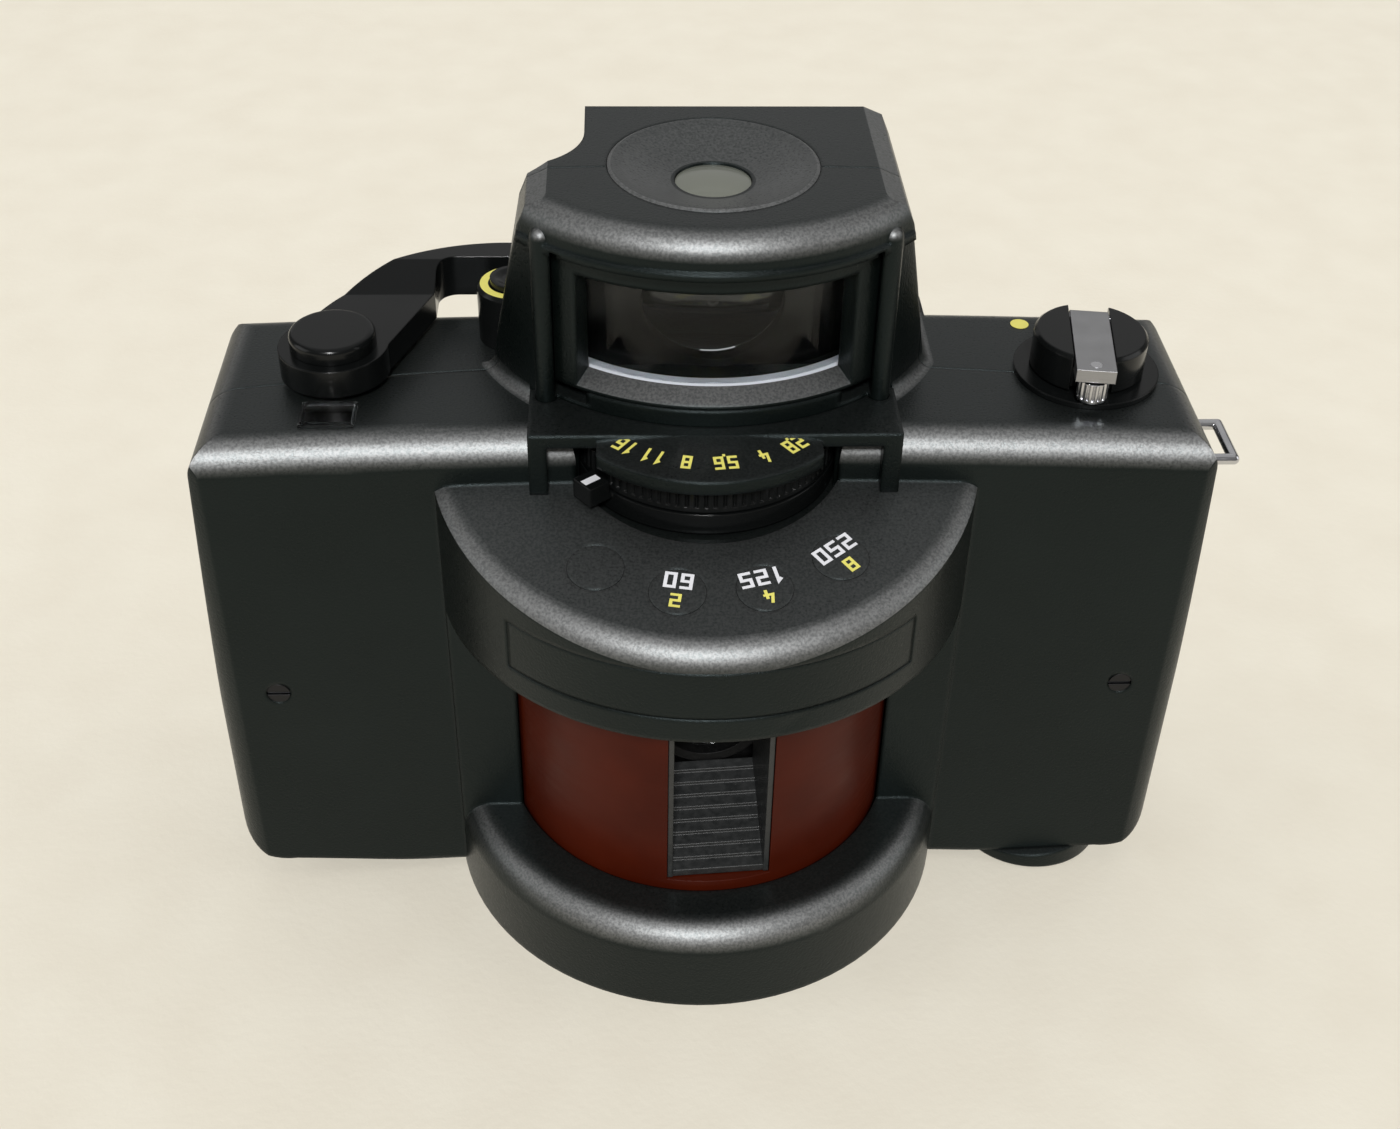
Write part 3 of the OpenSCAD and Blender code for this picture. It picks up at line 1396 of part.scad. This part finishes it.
front_shell();
rear_shell();
back_door();
hinge_pin();
chassis();
film_gate();
lower_bearing();
upper_bearing();
tripod_bush();
base_foot();
strap_staple();
front_screws();
name_strip();
speed_marks();
dial_well();
dial_hub();
speed_ring();
aperture_ring();
scale_bracket();
finder_bezel();
finder_front_lens();
finder_inner_frame();
finder_inner_lens();
eyepiece_ring();
eyepiece_lens();
level_dish();
level_vial();
drum_shell();
drum_baffle();
lens_barrel();
lens_front();
lens_rear();
light_chute();
drum_journals();
drum_gear();
spring_barrel();
barrel_axle();
wind_lever();
wind_cap();
wind_shaft();
take_up_spool();
film_sprocket();
counter_dial();
counter_window();
release_collar();
release_button();
release_spring();
rewind_collar();
rewind_knob();
rewind_shaft();
rewind_crank();
crank_pin();
crank_grip();
door_catch();
film_roller();
rewind_release_button();
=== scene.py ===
import math

import bmesh
import bpy
from mathutils import Matrix, Vector


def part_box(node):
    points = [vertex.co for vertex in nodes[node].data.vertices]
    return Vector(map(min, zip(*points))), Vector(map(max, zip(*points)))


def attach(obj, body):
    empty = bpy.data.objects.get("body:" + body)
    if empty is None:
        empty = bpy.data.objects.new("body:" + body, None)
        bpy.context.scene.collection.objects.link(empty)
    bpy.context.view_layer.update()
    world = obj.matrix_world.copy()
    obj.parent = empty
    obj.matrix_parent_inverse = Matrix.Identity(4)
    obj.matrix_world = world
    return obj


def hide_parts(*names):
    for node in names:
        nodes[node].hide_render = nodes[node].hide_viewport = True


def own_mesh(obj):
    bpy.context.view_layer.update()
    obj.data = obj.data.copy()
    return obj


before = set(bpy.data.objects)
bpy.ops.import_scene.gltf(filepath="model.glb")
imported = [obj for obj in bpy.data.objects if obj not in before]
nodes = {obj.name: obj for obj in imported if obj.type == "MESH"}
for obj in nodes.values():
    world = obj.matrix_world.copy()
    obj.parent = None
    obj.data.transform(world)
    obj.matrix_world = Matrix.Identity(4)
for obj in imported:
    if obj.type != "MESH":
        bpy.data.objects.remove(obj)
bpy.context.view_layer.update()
scene = bpy.context.scene
scene.view_settings.view_transform = "Standard"
MM = 0.001


# The studio: a pale table top, a soft distant light just above the camera, a wide panel overhead, one
# behind the object and one at each side, with the camera where the photographer stood.
camera_azimuth = math.radians(-3.03)
camera_elevation = math.radians(37.91)
camera_roll = math.radians(1.30)
camera_distance = 275.93 * MM
camera_target = Vector((-0.31, 0, 55.64)) * MM
back = Vector((math.sin(camera_azimuth) * math.cos(camera_elevation),
               -math.cos(camera_azimuth) * math.cos(camera_elevation), math.sin(camera_elevation)))
level = Vector((math.cos(camera_azimuth), math.sin(camera_azimuth), 0))
tilt = Matrix.Rotation(camera_roll, 3, back)
right, up = tilt @ level, tilt @ back.cross(level)
lens = bpy.data.cameras.new("camera")
lens.sensor_width = 36
lens.lens = 46.16
lens.clip_start = 0.01
camera = bpy.data.objects.new("camera", lens)
camera.matrix_world = Matrix.Translation(camera_target + camera_distance * back) @ Matrix(
    (right, up, back)).transposed().to_4x4()
scene.collection.objects.link(camera)
scene.camera = camera

light_target = Vector((0, 0, 45)) * MM


def shine_from(name, lamp, place, power):
    """A light at a place in millimetres, turned towards the middle of the object."""
    lamp.energy = power
    piece = bpy.data.objects.new(name, lamp)
    piece.location = Vector(place) * MM
    piece.rotation_euler = (light_target - piece.location).to_track_quat("-Z", "Y").to_euler()
    scene.collection.objects.link(piece)


def panel(name, place, size, power):
    lamp = bpy.data.lights.new(name, "AREA")
    lamp.shape = "RECTANGLE"
    lamp.size, lamp.size_y = size[0] * MM, size[1] * MM
    shine_from(name, lamp, place, power)


key_lamp = bpy.data.lights.new("key_light", "SUN")
key_lamp.angle = math.radians(9)
shine_from("key_light", key_lamp, place=(-52, -986, 982), power=3.1)
panel("back_light", place=(0, 620, 430), size=(1000, 520), power=0.6)
panel("ceiling_light", place=(0, 160, 820), size=(900, 900), power=0.9)
panel("left_light", place=(-620, -60, 330), size=(420, 420), power=0.8)
panel("right_light", place=(620, -60, 330), size=(420, 420), power=0.8)
scene.world = bpy.data.worlds.new("room")
scene.world.use_nodes = True
room_glow = scene.world.node_tree.nodes["Background"]
room_glow.inputs["Color"].default_value = (1.0, 0.98, 0.94, 1)
room_glow.inputs["Strength"].default_value = 0.14

noise_low, noise_high = 0.3, 0.7


class Wire:
    """A socket of a material's node tree. Sums and products of wires add the nodes that work them out."""

    def __init__(self, socket):
        self.socket, self.tree = socket, socket.id_data

    def node(self, kind, settings=None, sockets=None, out=0):
        """A new node of that kind, or the given node, with its sockets filled by wires or by values."""
        made = self.tree.nodes.new(kind) if isinstance(kind, str) else kind
        for name, value in (settings or {}).items():
            setattr(made, name, value)
        for name, value in (sockets or {}).items():
            if isinstance(value, Wire):
                self.tree.links.new(value.socket, made.inputs[name])
            else:
                made.inputs[name].default_value = value
        return Wire(made.outputs[out])

    def axis(self, letter):
        """One of the three parts of a vector."""
        return self.node("ShaderNodeSeparateXYZ", None, {"Vector": self}, letter)

    def ramp(self, low, high, first, last):
        """From first to last while this goes from low to high."""
        return self.node("ShaderNodeMapRange", None, {"Value": self, "From Min": low, "From Max": high,
                                                      "To Min": first, "To Max": last})

    def spread(self, first, last):
        """From first to last over the range that most of a noise lies in."""
        return self.ramp(noise_low, noise_high, first, last)

    def blend(self, first, last):
        """From one colour to the other while this goes from 0 to 1. Sockets 6 and 7 hold the colours."""
        return self.node("ShaderNodeMix", {"data_type": "RGBA"},
                         {"Factor": self, 6: (*first, 1), 7: (*last, 1)}, 2)

    def maths(self, operation, first, second):
        return self.node("ShaderNodeMath", {"operation": operation}, {0: first, 1: second})

    def __add__(self, other):
        return self.maths("ADD", self, other)

    def __sub__(self, other):
        return self.maths("SUBTRACT", self, other)

    def __mul__(self, other):
        return self.maths("MULTIPLY", self, other)


def new_finish(name):
    """A material with its place on the piece and the shader that takes its colours."""
    material = bpy.data.materials.new(name)
    material.use_nodes = True
    place = Wire(material.node_tree.nodes.new("ShaderNodeTexCoord").outputs["Object"])
    return material, place, material.node_tree.nodes["Principled BSDF"]


def grain(place, scale, detail=2.0, rough=0.5):
    """Noise with that many grains to the metre."""
    return place.node("ShaderNodeTexNoise", None, {"Vector": place, "Scale": scale, "Detail": detail,
                                                   "Roughness": rough})


def relief(place, height, depth, strength=1.0, edge=0.0):
    """Bump of that depth in millimetres, on edges softened by a radius in millimetres."""
    sockets = {"Height": height, "Distance": depth * MM, "Strength": strength}
    if edge:
        sockets["Normal"] = place.node("ShaderNodeBevel", {"samples": 6}, {"Radius": edge * MM})
    return place.node("ShaderNodeBump", None, sockets)


floor_half = 3
floor_material, floor_place, floor_shader = new_finish("table_top")
floor_tone = grain(floor_place, 60, detail=3)
floor_place.node(floor_shader, None, {
    "Base Color": floor_tone.spread(0, 1).blend((0.755, 0.705, 0.595), (0.785, 0.74, 0.63)),
    "Roughness": 0.9,
    "Specular IOR Level": 0.1,
    "Normal": relief(floor_place, grain(floor_place, 700), depth=0.1, strength=0.5)})
floor_shape = bmesh.new()
bmesh.ops.create_grid(floor_shape, x_segments=1, y_segments=1, size=floor_half)
floor_mesh = bpy.data.meshes.new("floor")
floor_shape.to_mesh(floor_mesh)
floor_mesh.materials.append(floor_material)
floor = bpy.data.objects.new("floor", floor_mesh)
scene.collection.objects.link(floor)


# The casing: two moulded shells of black plastic and the hinged back, with a fine spark-eroded grain
# and edges that the moulding rounds. A coat weighted by the way each surface faces is a painted sheen:
# a painted highlight on edges that face up at the front and back, which the flat tops and the ends lack.
def paint(material, *names):
    for name in names:
        nodes[name].data.materials.clear()
        nodes[name].data.materials.append(material)


casing_plastic, casing_place, casing_shader = new_finish("casing_plastic")
casing_grain = grain(casing_place, 2600, detail=2, rough=0.6)
casing_cloud = grain(casing_place, 55, detail=3)
casing_facing = Wire(casing_place.socket.node.outputs["Normal"])
facing_up, facing_side = casing_facing.axis("Z"), casing_facing.axis("X")
# Painted sheen: the coat is strongest on edges facing up, weaker on flat tops and towards the ends,
# speckled by the grain.
painted_sheen_on_upward_edges = facing_up.ramp(0.1, 0.5, 0, 1) - facing_up.ramp(0.9, 1.0, 0, 0.85)
painted_sheen_off_the_ends = (facing_side * facing_side).ramp(0.15, 0.5, 1, 0.2)
grain_speckle_in_sheen = casing_grain.ramp(0.38, 0.62, 0.6, 1.0)
casing_place.node(casing_shader, None, {
    "Base Color": casing_cloud.ramp(0.35, 0.65, 0, 1).blend((0.0016, 0.0026, 0.0023),
                                                            (0.0026, 0.0040, 0.0036)),
    "Roughness": casing_grain.spread(0.27, 0.41) + casing_cloud.spread(-0.03, 0.03),
    "Specular IOR Level": 0.24,
    "Specular Tint": (0.80, 0.98, 1.0, 1),
    "Coat Weight": painted_sheen_on_upward_edges * painted_sheen_off_the_ends * grain_speckle_in_sheen,
    "Coat IOR": 2.8,
    "Coat Roughness": 0.53,
    "Normal": relief(casing_place, casing_grain, depth=0.06, strength=1.0, edge=0.9)})
paint(casing_plastic, "front_shell", "rear_shell", "back_door", "base_foot", "dial_well", "dial_hub",
      "scale_bracket", "finder_bezel", "level_dish", "name_strip", "speed_marks")


# Smooth black plastic: the wind, release and rewind controls and the dial rings, which hands have
# polished, and the moulded take-up spool and the frame inside the finder.
polished_plastic, polished_place, polished_shader = new_finish("polished_plastic")
polished_smear = grain(polished_place, 160, detail=4, rough=0.6)
polished_place.node(polished_shader, None, {
    "Base Color": (0.004, 0.0045, 0.0045, 1),
    "Roughness": polished_smear.spread(0.12, 0.26),
    "Specular IOR Level": 0.22,
    "Normal": relief(polished_place, polished_smear, depth=0.01, strength=0.2, edge=0.35)})
paint(polished_plastic, "wind_lever", "wind_cap", "release_collar", "release_button", "rewind_collar",
      "rewind_knob", "rewind_release_button", "speed_ring", "aperture_ring", "take_up_spool",
      "finder_inner_frame")


# The lens drum: a turned metal drum in red-brown lacquer, which the hood's edge has dulled in faint
# rings around it.
drum_lacquer, drum_place, drum_shader = new_finish("drum_lacquer")
drum_stretch = drum_place.node("ShaderNodeMapping", None, {"Vector": drum_place, "Scale": (1, 1, 9)})
drum_rings = grain(drum_stretch, 120, detail=3)
drum_cloud = grain(drum_place, 70, detail=3)
drum_place.node(drum_shader, None, {
    "Base Color": drum_cloud.ramp(0.35, 0.65, 0, 1).blend((0.038, 0.0042, 0.0010), (0.052, 0.0064, 0.0018)),
    "Roughness": drum_rings.spread(0.30, 0.42),
    "Specular IOR Level": 0.10,
    "Normal": relief(drum_place, grain(drum_place, 900), depth=0.02, strength=0.25, edge=0.25)})
paint(drum_lacquer, "drum_shell")


# The dull black inside: lens barrel, light chute, film gate and chassis, with a coating that kills
# reflections. The drum's ribbed baffle is bare black plastic, which catches some light on its ribs.
dull_black, dull_place, dull_shader = new_finish("dull_black")
dull_grain = grain(dull_place, 1500, detail=3)
dull_place.node(dull_shader, None, {
    "Base Color": dull_grain.spread(0, 1).blend((0.003, 0.003, 0.003), (0.006, 0.006, 0.006)),
    "Roughness": dull_grain.spread(0.45, 0.6),
    "Specular IOR Level": 0.25,
    "Normal": relief(dull_place, dull_grain, depth=0.02, strength=0.2, edge=0.2)})
paint(dull_black, "lens_barrel", "light_chute", "film_gate", "chassis", "eyepiece_ring", "counter_dial")
rib_black, rib_place, rib_shader = new_finish("rib_black")
rib_grain = grain(rib_place, 900, detail=3)
rib_place.node(rib_shader, None, {
    "Base Color": rib_grain.spread(0, 1).blend((0.013, 0.014, 0.014), (0.022, 0.023, 0.023)),
    "Roughness": rib_grain.spread(0.32, 0.45),
    "Normal": relief(rib_place, rib_grain, depth=0.02, strength=0.2, edge=0.25)})
paint(rib_black, "drum_baffle")


# The glass and clear plastic: finder lenses, taking lens, level vial and the counter's window. The front
# finder lens is coated against reflections and has a ground lower edge.
glass_tone = (0.93, 0.95, 0.96)
clear_glass, clear_place, clear_shader = new_finish("clear_glass")
clear_place.node(clear_shader, None, {
    "Base Color": (*glass_tone, 1), "Roughness": 0.0, "Transmission Weight": 1.0, "IOR": 1.5})
paint(clear_glass, "finder_inner_lens", "eyepiece_lens", "lens_front", "lens_rear", "counter_window")
coated_glass, coated_place, coated_shader = new_finish("coated_glass")
ground_top, ground_blur = 91.75, 0.1
ground_edge = coated_place.axis("Z").ramp(ground_top * MM, (ground_top + ground_blur) * MM, 1, 0)
coated_place.node(coated_shader, None, {
    "Base Color": ground_edge.blend(glass_tone, (0.90, 0.92, 0.95)),
    "Roughness": ground_edge * 0.95,
    "Metallic": ground_edge,
    "Transmission Weight": 1.0,
    "IOR": 1.2})
paint(coated_glass, "finder_front_lens")
level_fluid, fluid_place, fluid_shader = new_finish("level_fluid")
fluid_place.node(fluid_shader, None, {
    "Base Color": (0.24, 0.25, 0.21, 1), "Roughness": 0.12, "Transmission Weight": 0.4, "IOR": 1.4})
paint(level_fluid, "level_vial")


# The metal: brass bearings, gears and bush, turned steel shafts, pins and catch, the bright staple and
# crank grip, the aluminium sprocket and roller, the dark screws and the grey crank.
def turned_metal(name, colour, smooth, rough):
    """Metal with fine tool marks around the piece's axis, which change its tone and roughness."""
    material, place, shader = new_finish(name)
    stretch = place.node("ShaderNodeMapping", None, {"Vector": place, "Scale": (1, 1, 12)})
    streaks = grain(stretch, 260, detail=3)
    place.node(shader, None, {
        "Base Color": streaks.spread(0, 1).blend([c * 0.85 for c in colour], colour),
        "Metallic": 1.0,
        "Roughness": streaks.spread(smooth, rough),
        "Normal": relief(place, streaks, depth=0.01, strength=0.3, edge=0.15)})
    return material


turned_brass = turned_metal("turned_brass", (0.72, 0.50, 0.20), smooth=0.22, rough=0.36)
turned_steel = turned_metal("turned_steel", (0.60, 0.60, 0.62), smooth=0.2, rough=0.34)
bright_plating = turned_metal("bright_plating", (0.62, 0.62, 0.64), smooth=0.14, rough=0.24)
satin_aluminium = turned_metal("satin_aluminium", (0.74, 0.75, 0.77), smooth=0.28, rough=0.42)
dark_screw = turned_metal("dark_screw", (0.035, 0.035, 0.037), smooth=0.35, rough=0.5)
grey_crank = turned_metal("grey_crank", (0.42, 0.42, 0.43), smooth=0.36, rough=0.5)
paint(turned_brass, "lower_bearing", "upper_bearing", "tripod_bush", "drum_gear", "spring_barrel")
paint(turned_steel, "hinge_pin", "drum_journals", "barrel_axle", "wind_shaft", "release_spring",
      "rewind_shaft", "crank_pin", "door_catch")
paint(bright_plating, "strap_staple", "crank_grip")
paint(satin_aluminium, "film_sprocket", "film_roller")
paint(dark_screw, "front_screws")
paint(grey_crank, "rewind_crank")


# The release spring: a coil of steel wire that stands on the chassis under the button, which presses
# it shorter. It is a copy of the CAD coil with a mesh of its own, hung on the casing.
coil = bpy.data.objects.new("release_coil", nodes["release_spring"].data.copy())
scene.collection.objects.link(coil)
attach(coil, "casing")
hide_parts("release_spring")
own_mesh(coil)


# The painted marks: square-cut numerals on the number tongue and the speed discs, the index bar and
# dots on the dials, the ring round the release button, and the bright rivet head on the crank.
def flat_finish(name, colour):
    material, place, shader = new_finish(name)
    wear = grain(place, 420, detail=3)
    place.node(shader, None, {
        "Base Color": wear.spread(0, 1).blend([c * 0.9 for c in colour], colour), "Roughness": 0.5})
    return material


white_paint = flat_finish("white_paint", (0.74, 0.74, 0.77))
yellow_paint = flat_finish("yellow_paint", (0.74, 0.68, 0.15))
mark_rise, mark_depth = 0.03, 0.06

# Each numeral is one or more strokes on a grid of 2 by 4 units, whose ends run on to the stroke's edge.
grid_width, grid_height = 2, 4
stroke_half, numeral_gap = 0.4, 0.9
numeral_width, numeral_height = grid_width + 2 * stroke_half, grid_height + 2 * stroke_half
NUMERALS = {
    "0": [[(0, 0), (0, 4), (2, 4), (2, 0), (0, 0)]],
    "1": [[(0.5, 3.2), (1.3, 4), (1.3, -0.4)]],
    "2": [[(-0.4, 4), (2, 4), (2, 2), (0, 2), (0, 0), (2.4, 0)]],
    "4": [[(0.7, 4.4), (0, 1.4), (2.4, 1.4)], [(1.5, 2.8), (1.5, 1.8)], [(1.5, 1.0), (1.5, -0.4)]],
    "5": [[(2.4, 4), (0, 4), (0, 2), (2, 2), (2, 0), (-0.4, 0)]],
    "6": [[(2.4, 4), (0, 4), (0, 0), (2, 0), (2, 2), (0.4, 2)]],
    "8": [[(0, 0), (0, 4), (2, 4), (2, 0), (0, 0)], [(0.4, 2), (1.6, 2)]],
    ".": [[(-0.7, -1.1), (-0.7, -0.3)]],
}


def ribbon(shape, points, half, place):
    """A flat ribbon along the points, mitred at its corners and closed where the ends meet."""
    closed = points[0] == points[-1]
    run = [Vector(point) for point in (points[1:] if closed else points)]
    count = len(run)
    pairs = []
    for i, point in enumerate(run):
        before = (point - run[i - 1]).normalized() if closed or i else (run[1] - point).normalized()
        after = (run[(i + 1) % count] - point).normalized() if closed or i < count - 1 else before
        side, other = before.orthogonal(), after.orthogonal()
        miter = (side + other) * half / (1 + side.dot(other))
        pairs.append([shape.verts.new(place @ (point + k * miter).to_3d()) for k in (1, -1)])
    for i in range(count if closed else count - 1):
        (a, b), (c, d) = pairs[i], pairs[(i + 1) % count]
        shape.faces.new((a, b, d, c))


def number(shape, text, height, width, place):
    """A number centred on the origin of its place, which has X to the right and Y up."""
    squeeze = width * numeral_height / (height * numeral_width)
    advance = numeral_width + numeral_gap / squeeze
    digits = len(text.replace(".", ""))
    left = (1 - digits) * advance / 2 - grid_width / 2
    scale = Matrix.Diagonal((height * squeeze / numeral_height, height / numeral_height, 1, 1))
    for letter in text:
        for points in NUMERALS[letter]:
            ribbon(shape, [(x + left, y - grid_height / 2) for x, y in points], stroke_half, place @ scale)
        left += 0 if letter == "." else advance


def flat_disc(shape, radius, place):
    bmesh.ops.create_circle(shape, cap_ends=True, segments=40, radius=radius, matrix=place)


def flat_ring(shape, radius, half, place):
    """A ring, as a ribbon whose last point is its first."""
    steps = 64
    turns = [math.tau * i / steps for i in range(steps)]
    points = [(radius * math.cos(turn), radius * math.sin(turn)) for turn in turns]
    ribbon(shape, points + points[:1], half, place)


def painted(name, body, material, draw, **sizes):
    """A thin layer of paint, drawn in millimetres with its top just above the surface under it."""
    shape = bmesh.new()
    draw(shape, **sizes)
    bmesh.ops.recalc_face_normals(shape, faces=shape.faces)
    bmesh.ops.solidify(shape, geom=shape.faces, thickness=mark_depth)
    bmesh.ops.recalc_face_normals(shape, faces=shape.faces)
    bmesh.ops.scale(shape, vec=(MM, MM, MM), verts=shape.verts)
    mesh = bpy.data.meshes.new(name)
    shape.to_mesh(mesh)
    mesh.materials.append(material)
    piece = bpy.data.objects.new(name, mesh)
    scene.collection.objects.link(piece)
    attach(piece, body)


def lying(x, y, z):
    """The place of a mark on a level surface."""
    return Matrix.Translation((x, y, z + mark_rise))


def facing_out(centre, slope, angle):
    """The place on a cone or disc around the drum axis whose Y points outward and falls by the slope."""
    turn = Matrix.Rotation(math.radians(angle - 90), 4, "Z")
    lean = Matrix.Rotation(-slope, 4, "X")
    return Matrix.Translation(centre) @ turn @ lean @ Matrix.Translation((0, 0, mark_rise))


def on_circle(radius, angle, z=0.0):
    return Vector((radius * math.cos(math.radians(angle)), radius * math.sin(math.radians(angle)), z))


plate_front, tongue_r, tongue_top, tongue_drop = 12, 21.7, 87.5, 1.2
tongue_slope = math.atan(tongue_drop / (tongue_r - plate_front))
number_r = 17.7
number_z = tongue_top - (number_r - plate_front) * math.tan(tongue_slope)
apertures = {"16": -130.8, "11": -116.0, "8": -100.9, "5.6": -83.6, "4": -65.6, "2.8": -48.7}


def tongue_numbers(shape, height, width):
    for text, angle in apertures.items():
        place = facing_out(on_circle(number_r, angle, number_z), tongue_slope, angle)
        number(shape, text, height, width, place)


painted("tongue_numbers", "casing", yellow_paint, tongue_numbers, height=2.6, width=1.4)

hood_height, hood_slope = 80.4, math.radians(13.1)
hood_plane = Matrix.Translation((0, 0, hood_height)) @ Matrix.Rotation(hood_slope, 4, "X")
disc_rise = 0.05
speeds = {-99.35: ("60", "2"), -76.2: ("125", "4"), -53.05: ("250", "8")}


def speed_numbers(shape, column, radius, height, width):
    for angle, texts in speeds.items():
        place = hood_plane @ facing_out(on_circle(radius, angle, disc_rise), 0, angle)
        number(shape, texts[column], height, width, place)


painted("speed_numbers", "casing", white_paint, speed_numbers,
        column=0, radius=28.3, height=2.7, width=1.75)
painted("film_speed_numbers", "casing", yellow_paint, speed_numbers,
        column=1, radius=31.7, height=2.3, width=1.55)

release_place = lying(-28, 19, 94.2)
dot_place = lying(49.2, 21.2, 85.4)
speed_angle, aperture_angle = -141, -128.5
speed_place = facing_out(on_circle(21.2, speed_angle, 81.1), 0, speed_angle)
aperture_place = facing_out(on_circle(19, aperture_angle, 83.05), math.pi / 2, aperture_angle)
grip_low, grip_high = [Vector(corner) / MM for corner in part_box("crank_grip")]
rivet_place = lying((grip_low.x + grip_high.x) / 2, (grip_low.y + grip_high.y) / 2,
                    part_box("rewind_crank")[1][2] / MM)
painted("release_ring", "casing", yellow_paint, flat_ring, radius=4.3, half=0.6, place=release_place)
painted("loading_dot", "casing", yellow_paint, flat_disc, radius=1.4, place=dot_place)
painted("speed_index", "speed", white_paint, ribbon,
        points=[(0, -1.3), (0, 1.3)], half=0.6, place=speed_place)
painted("aperture_index", "aperture", yellow_paint, flat_disc, radius=0.45, place=aperture_place)
painted("crank_rivet", "crank", turned_steel, flat_disc, radius=0.9, place=rivet_place)
